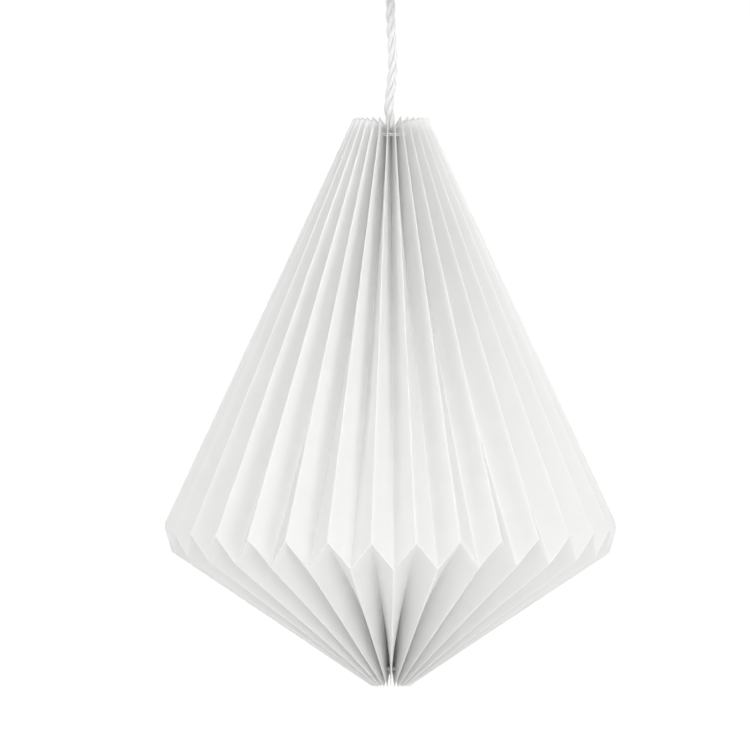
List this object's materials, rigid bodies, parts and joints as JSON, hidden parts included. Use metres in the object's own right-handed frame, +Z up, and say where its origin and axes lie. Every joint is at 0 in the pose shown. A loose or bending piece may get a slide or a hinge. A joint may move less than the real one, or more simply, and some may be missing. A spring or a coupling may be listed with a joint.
{
  "type": "accordion paper lantern",
  "caption": "Pendant lantern: a white accordion-folded paper shade, a cone that turns in at a zigzag belly, on a lamp holder, a twisted cord and a ceiling cup.",
  "frame": {"origin": "on the ceiling face, at the lamp's vertical axis, in the middle of the bracket's top", "axes": "+Z up along the hanging axis, -Y towards the front view, +X to its right"},
  "size_m": [0.3122, 0.3122, 0.5263],
  "materials": {
    "shade_paper": "matte uncoated white paper, folded",
    "gathering_string": "thin twisted white cotton string",
    "textile_cord": "white textile flex, twisted",
    "cup_enamel": "satin white",
    "plated_steel": "zinc plated",
    "white_plastic": "fine matte moulding",
    "terminal_plastic": "natural polyamide",
    "brass_parts": "plain",
    "lead_sheath": "single insulated leads",
    "porcelain": "glazed",
    "nickel_shell": "nickel plated",
    "opal_diffuser": "opal, satin",
    "black_insulator": "moulded",
    "bulb_plastic": "moulded",
    "circuit_board": "solder mask",
    "board_aluminium": "white coated board",
    "led_phosphor": "phosphor gel"
  },
  "bodies": {
    "ceiling_fitting": {"ceiling_cup": "cup_enamel", "ceiling_bracket": "plated_steel", "cup_side_screws": "plated_steel", "cup_cord_grip": "white_plastic", "cup_grip_nut": "plated_steel", "cup_grip_screw": "white_plastic", "terminal_block": "terminal_plastic", "terminal_screws": "brass_parts", "cord_leads": "lead_sheath"},
    "cord": {"cord": "textile_cord"},
    "lamp_holder": {"holder_cap": "white_plastic", "holder_cord_grip": "white_plastic", "holder_grip_screw": "white_plastic", "holder_nut": "plated_steel", "holder_body": "white_plastic", "holder_insert": "porcelain", "holder_terminal_screws": "brass_parts", "holder_leads": "lead_sheath", "socket_sleeve": "nickel_shell", "centre_contact": "brass_parts"},
    "shade": {"paper_sheet_front": "shade_paper", "paper_sheet_back": "shade_paper", "top_string": "gathering_string", "bottom_string": "gathering_string"},
    "bulb_envelope": {"bulb_globe": "opal_diffuser"},
    "bulb_base": {"bulb_cap": "nickel_shell", "bulb_insulator": "black_insulator", "bulb_tip_contact": "nickel_shell", "bulb_collar": "bulb_plastic", "driver_board": "circuit_board", "led_board": "board_aluminium", "leds": "led_phosphor"}
  },
  "joints": [
    {"name": "cord_swing", "type": "hinge", "parent": "ceiling_fitting", "child": "cord", "pos_m": [0, 0, -0.04], "axis": [0, 1, 0], "range_deg": [-20, 20]},
    {"name": "lamp_twist", "type": "hinge", "parent": "cord", "child": "lamp_holder", "pos_m": [0, 0, -0.1415], "axis": [0, 0, 1], "range_deg": [-180, 180]},
    {"name": "shade_lift", "type": "slide", "parent": "lamp_holder", "child": "shade", "axis": [0, 0, 1], "range_m": [0, 0.05]},
    {"name": "bulb_travel", "type": "slide", "parent": "lamp_holder", "child": "bulb_envelope", "axis": [0, 0, -1], "range_m": [0, 0.0218]},
    {"name": "bulb_turn", "type": "hinge", "parent": "bulb_envelope", "child": "bulb_base", "pos_m": [0, 0, -0.2], "axis": [0, 0, -1], "range_deg": [0, 2160]}
  ],
  "couplings": [
    {"joint": "bulb_travel", "follows": "bulb_turn", "m_per_rad": 0.00057757}
  ]
}
